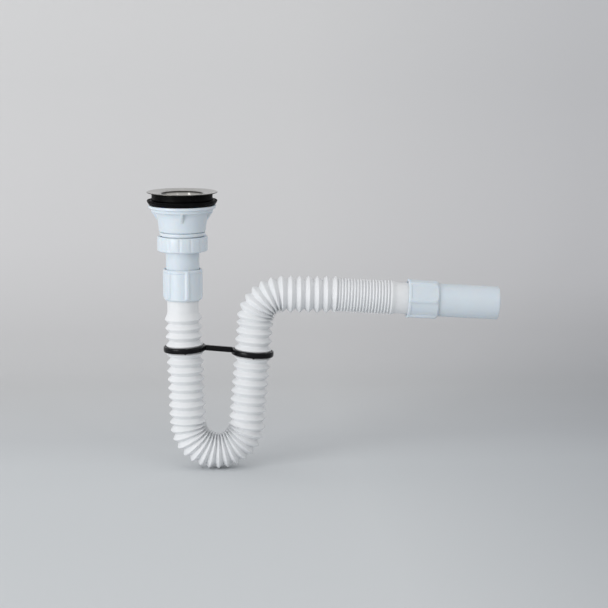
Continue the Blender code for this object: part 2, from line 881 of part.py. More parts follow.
def build():
    clear_scene()
    parts = make_collection("flexible_sink_trap")
    cutters = make_collection("cutters")
    white = material("fitting_plastic", (0.72, 0.76, 0.80), 0.32)
    hose_white = material("hose_plastic", (0.78, 0.79, 0.81), 0.42)
    rubber = material("black_rubber", (0.012, 0.012, 0.013), 0.55)
    black = material("black_plastic", (0.014, 0.014, 0.015), 0.45)
    steel = material("stainless_steel", (0.52, 0.51, 0.49), 0.25, 1.0)
    brass = material("brass", (0.62, 0.45, 0.18), 0.35, 1.0)

    flange(parts, cutters, steel)
    centre_screw(parts, cutters, steel)
    threaded_insert(parts, brass)
    upper_seal(parts, rubber)
    lower_seal(parts, rubber)
    waste_body(parts, cutters, white)

    upper_nut(parts, cutters, white)
    bore = tailpiece_radius - tailpiece_wall
    level = Matrix.Identity(4)
    washer("tailpiece_washer", washer_top_z - washer_height, bore, collar_radius, level, parts, rubber)
    tailpiece(parts, white)

    inlet_place = Matrix.Translation((0, 0, lower_nut_bottom_z))
    slip_nut("lower_nut", inlet_place, lower_nut_turn - math.pi / 2, parts, cutters, white)
    slip_ring("inlet_slip_ring", inlet_place, parts, white)
    washer("inlet_washer", washer_place, bore, bead_radius, inlet_place, parts, rubber)

    hose(parts, cutters, hose_white)
    hose_clip(parts, cutters, black)

    (x, z), heading = point_at(bends_length() + arm_length() + hose_end_place)
    outlet_place = along((x, 0, z), (-math.cos(heading), 0, -math.sin(heading)))
    slip_nut("outlet_nut", outlet_place, outlet_nut_turn - math.pi / 2, parts, cutters, white)
    outlet_sleeve(outlet_place, parts, white)
    washer("outlet_washer", pipe_washer_place, bore, bead_radius, outlet_place, parts, rubber)
    outlet_pipe(outlet_place, parts, white)

    for thing in parts.objects:
        smooth(thing)


build()
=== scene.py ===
import json
import math

import bmesh
import bpy
from mathutils import Matrix, Vector


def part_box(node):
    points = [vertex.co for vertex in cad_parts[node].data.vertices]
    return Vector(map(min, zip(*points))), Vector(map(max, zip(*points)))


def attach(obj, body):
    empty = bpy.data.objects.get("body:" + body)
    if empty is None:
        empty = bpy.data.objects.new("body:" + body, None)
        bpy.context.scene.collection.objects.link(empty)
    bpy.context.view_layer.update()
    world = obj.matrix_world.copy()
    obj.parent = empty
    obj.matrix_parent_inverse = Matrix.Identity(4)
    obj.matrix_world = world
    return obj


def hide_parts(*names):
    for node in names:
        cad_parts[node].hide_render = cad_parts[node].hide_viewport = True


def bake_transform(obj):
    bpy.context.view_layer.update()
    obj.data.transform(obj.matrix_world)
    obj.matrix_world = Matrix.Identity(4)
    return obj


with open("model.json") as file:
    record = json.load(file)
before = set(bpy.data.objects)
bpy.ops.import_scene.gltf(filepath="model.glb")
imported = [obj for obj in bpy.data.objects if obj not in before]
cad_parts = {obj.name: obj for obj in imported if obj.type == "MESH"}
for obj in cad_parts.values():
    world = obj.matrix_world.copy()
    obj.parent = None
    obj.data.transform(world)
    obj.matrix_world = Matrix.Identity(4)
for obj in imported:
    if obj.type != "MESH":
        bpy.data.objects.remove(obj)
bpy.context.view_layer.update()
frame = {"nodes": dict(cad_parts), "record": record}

joints = {joint["name"]: joint for joint in frame["record"]["behaviour"]["joints"]}
armAxis = Vector(joints["outlet_nut_turn"]["axis"])
armMiddle = Vector(joints["outlet_nut_turn"]["pos_m"])
print("trap: frame loaded,", len(frame["nodes"]), "nodes")


def startMaterial(name, roughness, metallic=0.0):
    made = bpy.data.materials.new(name)
    made.use_nodes = True
    shader = made.node_tree.nodes["Principled BSDF"]
    shader.inputs["Roughness"].default_value = roughness
    shader.inputs["Metallic"].default_value = metallic
    return made, made.node_tree, shader


def objectPlace(tree, stretch=(1, 1, 1), shift=(0, 0, 0)):
    coords = tree.nodes.new("ShaderNodeTexCoord")
    mapping = tree.nodes.new("ShaderNodeMapping")
    mapping.inputs["Scale"].default_value = stretch
    mapping.inputs["Location"].default_value = shift
    tree.links.new(coords.outputs["Object"], mapping.inputs["Vector"])
    return mapping.outputs["Vector"]


def speckle(tree, place, scale, detail=3.0, rough=0.5):
    noise = tree.nodes.new("ShaderNodeTexNoise")
    noise.inputs["Scale"].default_value = scale
    noise.inputs["Detail"].default_value = detail
    noise.inputs["Roughness"].default_value = rough
    tree.links.new(place, noise.inputs["Vector"])
    return noise.outputs["Fac"]


def remap(tree, value, low, high, fromLow=0.3, fromHigh=0.7):
    node = tree.nodes.new("ShaderNodeMapRange")
    node.inputs["From Min"].default_value = fromLow
    node.inputs["From Max"].default_value = fromHigh
    node.inputs["To Min"].default_value = low
    node.inputs["To Max"].default_value = high
    tree.links.new(value, node.inputs["Value"])
    return node.outputs["Result"]


def blendColours(tree, value, first, second):
    mix = tree.nodes.new("ShaderNodeMix")
    mix.data_type = "RGBA"
    mix.inputs["A"].default_value = (*first, 1)
    mix.inputs["B"].default_value = (*second, 1)
    tree.links.new(value, mix.inputs["Factor"])
    return mix.outputs["Result"]


def addBump(tree, height, strength, distance, under=None):
    bump = tree.nodes.new("ShaderNodeBump")
    bump.inputs["Strength"].default_value = strength
    bump.inputs["Distance"].default_value = distance
    tree.links.new(height, bump.inputs["Height"])
    if under is not None:
        tree.links.new(under, bump.inputs["Normal"])
    return bump.outputs["Normal"]


mouldSizes = {
    "flowScale": 38,
    "patchScale": 120,
    "waveScale": 130,
    "waveDepth": 0.0006,
    "grainScale": 2200,
    "grainDepth": 0.00008,
}


def mouldedPlastic(name, look):
    # faint flow marks in the colour, a fine moulded grain and slow sink waves in the surface
    s = mouldSizes
    made, tree, shader = startMaterial(name, look["smooth"])
    place = objectPlace(tree)
    flow = remap(tree, speckle(tree, place, s["flowScale"], 4.0, 0.6), 0, 1)
    colour = blendColours(tree, flow, look["light"], look["dark"])
    tree.links.new(colour, shader.inputs["Base Color"])
    patches = speckle(tree, place, s["patchScale"], 3.0)
    tree.links.new(remap(tree, patches, look["smooth"], look["rough"]), shader.inputs["Roughness"])
    slow = addBump(tree, speckle(tree, place, s["waveScale"], 1.0), look["waves"], s["waveDepth"])
    fine = speckle(tree, place, s["grainScale"], 2.0)
    tree.links.new(addBump(tree, fine, look["grain"], s["grainDepth"], slow), shader.inputs["Normal"])
    shader.inputs["Subsurface Weight"].default_value = look["soften"]
    shader.inputs["Subsurface Radius"].default_value = look["depth"]
    shader.inputs["Subsurface Scale"].default_value = 1
    return made


rubberLook = {
    "dark": (0.001, 0.001, 0.001),
    "bloomed": (0.004, 0.004, 0.004),
    "bloomScale": 160,
    "patchScale": 420,
    "smooth": 0.38,
    "rough": 0.58,
    "shine": 0.05,
    "grainScale": 3000,
    "grain": 0.25,
    "grainDepth": 0.00006,
}


def blackRubber():
    s = rubberLook
    made, tree, shader = startMaterial("sealRubber", 0.5)
    place = objectPlace(tree)
    bloom = remap(tree, speckle(tree, place, s["bloomScale"], 5.0, 0.65), 0, 1)
    colour = blendColours(tree, bloom, s["dark"], s["bloomed"])
    tree.links.new(colour, shader.inputs["Base Color"])
    patches = speckle(tree, place, s["patchScale"], 3.0)
    tree.links.new(remap(tree, patches, s["smooth"], s["rough"]), shader.inputs["Roughness"])
    shader.inputs["Specular IOR Level"].default_value = s["shine"]
    grain = addBump(tree, speckle(tree, place, s["grainScale"], 3.0), s["grain"], s["grainDepth"])
    tree.links.new(grain, shader.inputs["Normal"])
    return made


clipLook = {
    "dark": (0.002, 0.002, 0.003),
    "worn": (0.005, 0.005, 0.006),
    "wearScale": 140,
    "patchScale": 300,
    "smooth": 0.14,
    "rough": 0.24,
    "shine": 0.16,
    "grainScale": 2600,
    "grain": 0.12,
    "grainDepth": 0.00005,
}


def clipPlastic():
    s = clipLook
    made, tree, shader = startMaterial("clipPlastic", 0.35)
    place = objectPlace(tree)
    wear = remap(tree, speckle(tree, place, s["wearScale"], 4.0), 0, 1)
    colour = blendColours(tree, wear, s["dark"], s["worn"])
    tree.links.new(colour, shader.inputs["Base Color"])
    patches = speckle(tree, place, s["patchScale"], 3.0)
    tree.links.new(remap(tree, patches, s["smooth"], s["rough"]), shader.inputs["Roughness"])
    shader.inputs["Specular IOR Level"].default_value = s["shine"]
    grain = addBump(tree, speckle(tree, place, s["grainScale"], 2.0), s["grain"], s["grainDepth"])
    tree.links.new(grain, shader.inputs["Normal"])
    return made


metalSizes = {
    "patchScale": 90,
    # soft edge of each painted shade ring
    "shadeRingEdge": 0.0003,
    "ringBump": 0.25,
    "ringDepth": 0.00004,
}


def turnedMetal(name, bright, dull, smoothLook, roughLook, rings, shadeRings=()):
    # fine rings round the upright axis, as a pressed and spun sheet shows; each shade ring is painted
    # shade, a darker ring of the base colour between two radii
    s = metalSizes
    made, tree, shader = startMaterial(name, smoothLook, 1.0)
    place = objectPlace(tree)
    flat = tree.nodes.new("ShaderNodeVectorMath")
    flat.operation = "MULTIPLY"
    flat.inputs[1].default_value = (1, 1, 0)
    tree.links.new(place, flat.inputs[0])
    radius = tree.nodes.new("ShaderNodeVectorMath")
    radius.operation = "LENGTH"
    tree.links.new(flat.outputs["Vector"], radius.inputs[0])
    lines = tree.nodes.new("ShaderNodeTexNoise")
    lines.noise_dimensions = "1D"
    lines.inputs["Scale"].default_value = rings
    lines.inputs["Detail"].default_value = 4
    tree.links.new(radius.outputs["Value"], lines.inputs["W"])
    patch = remap(tree, speckle(tree, place, s["patchScale"], 4.0), 0, 1)
    colour = blendColours(tree, patch, bright, dull)
    soft = s["shadeRingEdge"]
    # each ring darkens the base colour between its radii: painted shade
    for inner, outer, shade in shadeRings:
        rise = remap(tree, radius.outputs["Value"], 0, 1, inner - soft, inner + soft)
        fall = remap(tree, radius.outputs["Value"], 1, 0, outer - soft, outer + soft)
        band = tree.nodes.new("ShaderNodeMath")
        band.operation = "MULTIPLY"
        tree.links.new(rise, band.inputs[0])
        tree.links.new(fall, band.inputs[1])
        shadeMix = tree.nodes.new("ShaderNodeMix")
        shadeMix.data_type = "RGBA"
        shadeMix.inputs["B"].default_value = (*shade, 1)
        tree.links.new(band.outputs["Value"], shadeMix.inputs["Factor"])
        tree.links.new(colour, shadeMix.inputs["A"])
        colour = shadeMix.outputs["Result"]
    tree.links.new(colour, shader.inputs["Base Color"])
    shine = remap(tree, lines.outputs["Fac"], smoothLook, roughLook)
    tree.links.new(shine, shader.inputs["Roughness"])
    turned = addBump(tree, lines.outputs["Fac"], s["ringBump"], s["ringDepth"])
    tree.links.new(turned, shader.inputs["Normal"])
    return made


fittingLook = {
    "light": (0.68, 0.745, 0.80),
    "dark": (0.655, 0.72, 0.775),
    "smooth": 0.30,
    "rough": 0.40,
    "grain": 0.10,
    "waves": 0.10,
    "soften": 0.6,
    "depth": (0.0003, 0.0004, 0.0005),
}

hoseLook = {
    "light": (0.78, 0.79, 0.805),
    "dark": (0.745, 0.76, 0.775),
    "smooth": 0.42,
    "rough": 0.54,
    "grain": 0.14,
    "waves": 0.14,
    "soften": 0.8,
    "depth": (0.0005, 0.0005, 0.0005),
}

# the dish's painted shade rings: inner radius, outer radius and shade of each darker ring; the inner ring
# is a painted dark reflection in the hole's rounded edge, the outer ring is painted shade on the rim's
# edge
paintedShade = (0.03, 0.028, 0.024)
dishShadeRings = ((0.0200, 0.0211, paintedShade), (0.03475, 0.0360, paintedShade))

fittingWhite = mouldedPlastic("fittingWhite", fittingLook)
hoseWhite = mouldedPlastic("hoseWhite", hoseLook)
sealRubber = blackRubber()
clipBlack = clipPlastic()
spunSteel = turnedMetal("spunSteel", (0.63, 0.62, 0.60), (0.52, 0.51, 0.49), 0.18, 0.34, 5200)
# the dish's base colour carries two rings of painted shade
pressedSteel = turnedMetal(
    "pressedSteel", (0.54, 0.53, 0.505), (0.46, 0.45, 0.43), 0.10, 0.20, 5200, dishShadeRings
)
turnedBrass = turnedMetal("turnedBrass", (0.66, 0.47, 0.20), (0.56, 0.39, 0.15), 0.26, 0.40, 2600)
print("trap: materials made")


weldDistance = 0.0000015
clearance = 0.0003


def roundedLine(points, steps=4, closed=True):
    # points are (across, along, rounding); each corner becomes a short arc
    made = []
    count = len(points)
    for index, (across, high, size) in enumerate(points):
        corner = Vector((across, high))
        if size <= 0 or (not closed and index in (0, count - 1)):
            made.append(corner)
            continue
        back = Vector(points[index - 1][:2]) - corner
        ahead = Vector(points[(index + 1) % count][:2]) - corner
        start = corner + back.normalized() * min(size, back.length * 0.49)
        end = corner + ahead.normalized() * min(size, ahead.length * 0.49)
        for step in range(steps + 1):
            t = step / steps
            made.append((1 - t) ** 2 * start + 2 * t * (1 - t) * corner + t ** 2 * end)
    return made


def spinLoop(shape, points, steps, place=None, rounding=4):
    # a closed outline turned once round the z axis
    before = set(shape.verts)
    corners = [shape.verts.new((p.x, 0, p.y)) for p in roundedLine(points, rounding)]
    edges = [shape.edges.new(pair) for pair in zip(corners, corners[1:] + corners[:1])]
    bmesh.ops.spin(
        shape,
        geom=corners + edges,
        cent=(0, 0, 0),
        axis=(0, 0, 1),
        angle=math.tau,
        steps=steps,
        use_merge=True,
    )
    if place is not None:
        fresh = [v for v in shape.verts if v not in before]
        bmesh.ops.transform(shape, matrix=place, verts=fresh)


def along(point, direction):
    up = Vector(direction).normalized()
    side = Vector((0, 1, 0))
    turn = Matrix((side.cross(up), side, up)).transposed().to_4x4()
    return Matrix.Translation(point) @ turn


def settle(shape, name, look, slotName, body, *nodes, crease=32):
    # welds, turns the faces outwards and hands the piece over to its body
    bmesh.ops.remove_doubles(shape, verts=shape.verts, dist=weldDistance)
    bmesh.ops.recalc_face_normals(shape, faces=shape.faces)
    mesh = bpy.data.meshes.new(name)
    shape.to_mesh(mesh)
    shape.free()
    mesh.shade_smooth()
    mesh.set_sharp_from_angle(angle=math.radians(crease))
    mesh.materials.append(look)
    piece = bpy.data.objects.new(name, mesh)
    bpy.context.collection.objects.link(piece)
    if body is not None:
        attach(piece, body)
    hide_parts(*nodes)
    print("trap: piece", name, len(mesh.polygons), "faces")
    return piece


def cutFrom(shape, cutter):
    # takes the cutter's solid out of the shape
    work = []
    for part in (shape, cutter):
        bmesh.ops.remove_doubles(part, verts=part.verts, dist=weldDistance)
        bmesh.ops.recalc_face_normals(part, faces=part.faces)
        mesh = bpy.data.meshes.new("work")
        part.to_mesh(mesh)
        part.free()
        work.append(bpy.data.objects.new("work", mesh))
        bpy.context.collection.objects.link(work[-1])
    cut = work[0].modifiers.new("Cut", "BOOLEAN")
    cut.operation = "DIFFERENCE"
    cut.solver = "EXACT"
    cut.object = work[1]
    bpy.context.view_layer.update()
    result = bmesh.new()
    result.from_object(work[0], bpy.context.evaluated_depsgraph_get())
    for thing in work:
        bpy.data.objects.remove(thing, do_unlink=True)
    return result


flangeSizes = {
    "rimRadius": 0.0350,
    "rimTop": 0.0081,
    "sheet": 0.0008,
    "holeRadius": 0.0206,
    "holeTop": 0.0066,
    "floorRadius": 0.0165,
    "floorTop": -0.0049,
    "screwHole": 0.00295,
    "slots": 8,
    "slotWidth": 0.0034,
    "slotInner": 0.0070,
    "slotOuter": 0.0148,
    "slotRounding": 0.46,
    "cutHeight": 0.004,
    "rimLip": 0.0012,
}


def makeFlange():
    s = flangeSizes
    t = s["sheet"]
    shape = bmesh.new()
    spinLoop(shape, [
        (s["rimRadius"], s["rimTop"], 0.0004),
        (s["rimRadius"], s["rimTop"] - t, 0.0003),
        (s["holeRadius"] + t, s["holeTop"] - t, 0.0016),
        (s["floorRadius"] + t, s["floorTop"] - t, 0.0020),
        (s["screwHole"], s["floorTop"] - t, 0),
        (s["screwHole"], s["floorTop"], 0.0002),
        (s["floorRadius"], s["floorTop"], 0.0016),
        (s["holeRadius"], s["holeTop"], 0.0014),
        (s["rimRadius"] - s["rimLip"], s["rimTop"], 0.0006),
    ], 160, rounding=6)
    cutter = bmesh.new()
    reach = s["slotOuter"] - s["slotInner"]
    for index in range(s["slots"]):
        place = (
            Matrix.Rotation(index * math.tau / s["slots"], 4, "Z")
            @ Matrix.Translation((s["slotInner"] + reach / 2, 0, s["floorTop"]))
            @ Matrix.Diagonal((reach, s["slotWidth"], s["cutHeight"], 1))
        )
        made = bmesh.ops.create_cube(cutter, size=1, matrix=place)
        edges = {e for v in made["verts"] for e in v.link_edges}
        half = s["cutHeight"] / 2
        bmesh.ops.bevel(
            cutter,
            geom=[e for e in edges if abs(e.verts[0].co.z - e.verts[1].co.z) > half],
            offset=s["slotWidth"] * s["slotRounding"],
            segments=5,
            profile=0.5,
            affect="EDGES",
            material=-1,
        )
    shape = cutFrom(shape, cutter)
    settle(
        shape, "strainerDish", pressedSteel, "stainless_steel", "waste", "strainer_flange", crease=28
    )


screwSizes = {
    "seat": -0.0046,
    "headHeight": 0.0028,
    "headRadius": 0.0052,
    "shankRadius": 0.0026,
    "length": 0.0200,
    "slotWidth": 0.0012,
    "slotDepth": 0.0012,
    "slotCut": 0.013,
    "slotTurn": math.radians(35),
}


def makeScrew():
    s = screwSizes
    top = s["seat"] + s["headHeight"]
    shape = bmesh.new()
    spinLoop(shape, [
        (0, top, 0),
        (s["headRadius"], top, 0.0016),
        (s["headRadius"], s["seat"], 0.0002),
        (s["shankRadius"], s["seat"], 0.0002),
        (s["shankRadius"], s["seat"] - s["length"], 0.0008),
        (0, s["seat"] - s["length"], 0),
    ], 64)
    cutter = bmesh.new()
    place = (
        Matrix.Translation((0, 0, top))
        @ Matrix.Rotation(s["slotTurn"], 4, "Z")
        @ Matrix.Diagonal((s["slotCut"], s["slotWidth"], 2 * s["slotDepth"], 1))
    )
    bmesh.ops.create_cube(cutter, size=1, matrix=place)
    shape = cutFrom(shape, cutter)
    settle(shape, "strainerScrew", spunSteel, "stainless_steel", "waste", "centre_screw")


sealSizes = {
    "upperRadius": 0.0303,
    "upperBore": 0.0232,
    "lowerRadius": 0.0349,
    "lowerFoot": 0.0323,
    "lowerBore": 0.0240,
    "lowerTop": -0.00015,
    "lowerHeight": 0.0047,
    "lipHeight": 0.0002,
    "lipWidth": 0.0012,
    "grooveDepth": 0.0009,
    "grooveWidth": 0.0010,
}


def makeSeals():
    s = sealSizes
    low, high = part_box("upper_seal")
    shape = bmesh.new()
    spinLoop(shape, [
        (s["upperRadius"], high.z, 0.0006),
        (s["upperRadius"] - 0.0002, (high.z + low.z) / 2 + 0.0004, 0.0003),
        (s["upperRadius"] - 0.0002, (high.z + low.z) / 2 - 0.0004, 0.0003),
        (s["upperRadius"], low.z, 0.0005),
        (s["upperBore"], low.z, 0),
        (s["upperBore"], low.z + 0.0055, 0),
    ], 160)
    settle(shape, "upperSeal", sealRubber, "black_rubber", "waste", "upper_seal", crease=40)

    top = s["lowerTop"]
    foot = top - s["lowerHeight"]
    lipInner = s["lowerRadius"] - s["lipWidth"]
    grooveInner = lipInner - s["grooveWidth"]
    shape = bmesh.new()
    spinLoop(shape, [
        (s["lowerRadius"] - 0.0003, top + s["lipHeight"], 0.0004),
        (s["lowerRadius"], top - 0.0006, 0.0006),
        (s["lowerRadius"] - 0.0007, top - 0.0023, 0.0008),
        (s["lowerFoot"], foot, 0.0005),
        (s["lowerBore"], foot, 0),
        (s["lowerBore"], top, 0),
        (grooveInner, top, 0.0003),
        (grooveInner, top - s["grooveDepth"], 0.0002),
        (lipInner, top - s["grooveDepth"], 0.0002),
        (lipInner, top + s["lipHeight"], 0.0003),
    ], 160)
    settle(shape, "lowerSeal", sealRubber, "black_rubber", "waste", "lower_seal", crease=40)


cupSizes = {
    "rimRadius": 0.0332,
    "rimHeight": 0.0028,
    "ledgeRadius": 0.0305,
    "ledgeHeight": 0.0035,
    "wall": 0.0022,
    "neckRadius": 0.0270,
    "neckCurve": 0.0018,
    "neckDrop": 0.0035,
    "shoulderRadius": 0.0241,
    "shoulderDrop": 0.0105,
    "footRadius": 0.0231,
    "bottom": -0.0311,
    "ringRadius": 0.0225,
    "ringGap": 0.0007,
    "ringHeight": 0.0034,
    "spigotRadius": 0.0210,
    "threadDepth": 0.0008,
    "threadPitch": 0.0031,
    "threadMargin": 0.0012,
    "spigotBore": 0.0176,
    "spigotLength": 0.0132,
    "gussets": 4,
    "gussetTurn": math.radians(-2),
    "gussetWidth": 0.0028,
    "gussetReach": 0.0302,
    "gussetDrop": 0.0112,
    "gussetRounding": 0.0003,
    "bossRadius": 0.0066,
    "bossDrop": 0.0023,
    "bridgeWidth": 0.0022,
    "bridgeHeight": 0.0070,
}


def addThread(shape, core, depth, start, end, pitch, steps=72):
    # a pointed rib wound up between two heights
    turns = (end - start) / pitch
    count = int(turns * steps)
    half = pitch * 0.36
    crest = half * 0.25
    root = core - 0.0002
    corners = [
        shape.verts.new((root, 0, start - half)),
        shape.verts.new((core + depth, 0, start - crest)),
        shape.verts.new((core + depth, 0, start + crest)),
        shape.verts.new((root, 0, start + half)),
    ]
    edges = [shape.edges.new(pair) for pair in zip(corners, corners[1:] + corners[:1])]
    first = shape.faces.new(corners)
    bmesh.ops.spin(
        shape,
        geom=[first] + edges + corners,
        cent=(0, 0, 0),
        axis=(0, 0, 1),
        dvec=(0, 0, (end - start) / count),
        angle=turns * math.tau,
        steps=count,
    )


def makeCup():
    s = cupSizes
    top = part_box("waste_body")[1].z
    rimBottom = top - s["rimHeight"]
    ledge = rimBottom - s["ledgeHeight"]
    shoulder = ledge - s["shoulderDrop"]
    wall = s["wall"]
    core = s["spigotRadius"] - s["threadDepth"]
    spigotEnd = s["bottom"] - s["spigotLength"]
    shape = bmesh.new()
    spinLoop(shape, [
        (s["rimRadius"], top, 0.0004),
        (s["rimRadius"], rimBottom, 0.0007),
        (s["ledgeRadius"] + 0.0002, rimBottom - 0.0006, 0.0005),
        (s["ledgeRadius"], ledge, 0.0009),
        (s["neckRadius"], ledge - 0.0003, 0.0012),
        (s["neckRadius"] - s["neckCurve"], ledge - s["neckDrop"], 0.0026),
        (s["shoulderRadius"], shoulder, 0.0040),
        (s["footRadius"], s["bottom"], 0.0007),
        (core, s["bottom"], 0.0003),
        (core, s["bottom"] - s["ringGap"], 0.0002),
        (s["ringRadius"], s["bottom"] - s["ringGap"], 0.0008),
        (s["ringRadius"], s["bottom"] - s["ringGap"] - s["ringHeight"], 0.0006),
        (core, s["bottom"] - s["ringGap"] - s["ringHeight"], 0.0002),
        (core, spigotEnd, 0.0005),
        (s["spigotBore"], spigotEnd, 0.0003),
        (s["spigotBore"], s["bottom"] + wall, 0.0005),
        (s["footRadius"] - wall, s["bottom"] + wall, 0.0008),
        (s["shoulderRadius"] - wall, shoulder, 0.0030),
        (s["neckRadius"] - s["neckCurve"] - wall, ledge - s["neckDrop"] / 2, 0.0020),
        (s["ledgeRadius"] - wall, ledge + wall, 0.0008),
        (s["ledgeRadius"] - wall, top, 0.0003),
    ], 160, rounding=6)
    threadTop = s["bottom"] - s["ringGap"] - s["ringHeight"] - s["threadMargin"]
    threadEnd = spigotEnd + s["threadMargin"]
    addThread(shape, core, s["threadDepth"], threadEnd, threadTop, s["threadPitch"])
    root = s["shoulderRadius"] - wall / 2
    for index in range(s["gussets"]):
        plate = [
            (root, ledge + 0.0004),
            (s["gussetReach"], ledge + 0.0004),
            (s["gussetReach"] - 0.0002, ledge - 0.0008),
            (root, ledge - s["gussetDrop"]),
        ]
        corners = [shape.verts.new((x, -s["gussetWidth"] / 2, z)) for x, z in plate]
        side = shape.faces.new(corners)
        pulled = bmesh.ops.extrude_face_region(shape, geom=[side])
        moved = [v for v in pulled["geom"] if isinstance(v, bmesh.types.BMVert)]
        bmesh.ops.translate(shape, verts=moved, vec=(0, s["gussetWidth"], 0))
        body = corners + moved
        edges = {e for v in body for e in v.link_edges}
        bmesh.ops.recalc_face_normals(shape, faces=list({f for v in body for f in v.link_faces}))
        made = bmesh.ops.bevel(
            shape,
            geom=list(edges),
            offset=s["gussetRounding"],
            segments=2,
            profile=0.5,
            affect="EDGES",
            material=-1,
        )
        loose = {v for f in made["faces"] for v in f.verts} | {v for v in body if v.is_valid}
        grown = set(loose)
        for v in loose:
            grown |= {w for f in v.link_faces for w in f.verts}
        turn = Matrix.Rotation(s["gussetTurn"] + index * math.tau / s["gussets"], 4, "Z")
        bmesh.ops.transform(shape, matrix=turn, verts=list(grown))
    return shape


def addBridges(shape):
    # the cross that carries the screw's insert inside the cup
    s = cupSizes
    insertLow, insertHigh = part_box("threaded_insert")
    reach = s["footRadius"] - s["wall"] / 2
    middle = s["bottom"] + s["wall"] / 2 + s["bridgeHeight"] / 2
    for index in range(2):
        place = (
            Matrix.Rotation(math.radians(45) + index * math.pi / 2, 4, "Z")
            @ Matrix.Translation((0, 0, middle))
            @ Matrix.Diagonal((2 * reach, s["bridgeWidth"], s["bridgeHeight"], 1))
        )
        bmesh.ops.create_cube(shape, size=1, matrix=place)
    spinLoop(shape, [
        (s["bossRadius"], insertHigh.z - clearance, 0.0004),
        (s["bossRadius"], insertLow.z - s["bossDrop"], 0.0006),
        (0.0001, insertLow.z - s["bossDrop"], 0),
        (0.0001, insertLow.z - clearance, 0),
        (insertHigh.x + clearance, insertLow.z - clearance, 0),
        (insertHigh.x + clearance, insertHigh.z - clearance, 0),
    ], 48)


upperNutSizes = {
    "radius": 0.0250,
    "ribHeight": -0.0004,
    "ribWidth": 0.0034,
    "ribTop": 0.0008,
    "ribs": 14,
    "turn": math.radians(-7),
    "edge": 0.0016,
    "topEdge": 0.0008,
    "lip": 0.0019,
    "threadBore": 0.0213,
    "pipeHole": 0.0169,
}

slipNutSizes = {
    "radius": 0.0189,
    "ribHeight": 0.0013,
    "ribWidth": 0.0055,
    "ribTop": 0.0019,
    "ribs": 6,
    "chamfer": 0.0030,
    "collarRadius": 0.0194,
    "collarHeight": 0.0030,
    "length": 0.0312,
    "lip": 0.0040,
    "threadBore": 0.0177,
    "pipeHole": 0.0169,
}


ribSoftness = 0.14


def ribbedRadius(angle, sizes, first):
    # plain radius, or the flank or top of the nearest rib; a rib height under 0 makes a groove
    spacing = math.tau / sizes["ribs"]
    off = (angle - first + spacing / 2) % spacing - spacing / 2
    across = abs(off) * sizes["radius"]
    foot, top = sizes["ribWidth"] / 2, sizes["ribTop"] / 2
    soft = ribSoftness
    rise = (foot - across) / (foot - top)
    rise = (rise + math.sqrt(rise ** 2 + soft ** 2)) / 2
    rise = 1 - (1 - rise + math.sqrt((1 - rise) ** 2 + soft ** 2)) / 2
    return sizes["radius"] + sizes["ribHeight"] * rise


def ribbedShell(shape, rows, place, segments=288):
    # rows are (height, radius at an angle); each is extruded from the last, and the ends are joined
    ring = bmesh.ops.create_circle(shape, segments=segments, radius=1)["verts"]
    everything = list(ring)
    angles = {v: math.atan2(v.co.y, v.co.x) for v in ring}
    edges = list({e for v in ring for e in v.link_edges})
    firstEdges = list(edges)
    for index, (z, radiusAt) in enumerate(rows):
        if index:
            pulled = bmesh.ops.extrude_edge_only(shape, edges=edges)["geom"]
            fresh = [v for v in pulled if isinstance(v, bmesh.types.BMVert)]
            edges = [e for e in pulled if isinstance(e, bmesh.types.BMEdge)]
            angles.update({v: math.atan2(v.co.y, v.co.x) for v in fresh})
            ring = fresh
            everything += fresh
        for v in ring:
            angle = angles[v]
            r = radiusAt(angle)
            v.co = (r * math.cos(angle), r * math.sin(angle), z)
    bmesh.ops.bridge_loops(shape, edges=firstEdges + edges)
    bmesh.ops.transform(shape, matrix=place, verts=everything)


def makeUpperNut():
    s = upperNutSizes
    low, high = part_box("upper_nut")
    height = high.z - low.z
    tip = s["radius"]
    edge = s["edge"]
    first = s["turn"] - math.pi / 2

    def under(limit):
        return lambda angle: min(ribbedRadius(angle, s, first), limit)

    rows = [(0, under(tip - edge)), (0.0001, under(tip - edge * 0.9))]
    for step in range(1, 9):
        turn = step / 8 * math.pi / 2
        limit = tip - edge * (1 - math.sin(turn))
        rows.append((edge * (1 - math.cos(turn)) + 0.00012, under(limit)))
    topEdge = s["topEdge"]
    rows += [(height * 0.5, under(tip)), (height - topEdge, under(tip))]
    for step in range(1, 5):
        turn = step / 4 * math.pi / 2
        limit = tip - topEdge * (1 - math.cos(turn))
        rows.append((height - topEdge * (1 - math.sin(turn)), under(limit)))
    rows += [
        (height, lambda angle: s["threadBore"] + 0.0005),
        (height - 0.0005, lambda angle: s["threadBore"]),
        (s["lip"], lambda angle: s["threadBore"]),
        (s["lip"], lambda angle: s["pipeHole"]),
        (0.0004, lambda angle: s["pipeHole"]),
        (0, lambda angle: s["pipeHole"] + 0.0004),
    ]
    shape = bmesh.new()
    ribbedShell(shape, rows, Matrix.Translation((0, 0, low.z)), 384)
    settle(
        shape, "couplingNut", fittingWhite, "fitting_plastic", "upper_nut", "upper_nut", crease=24
    )


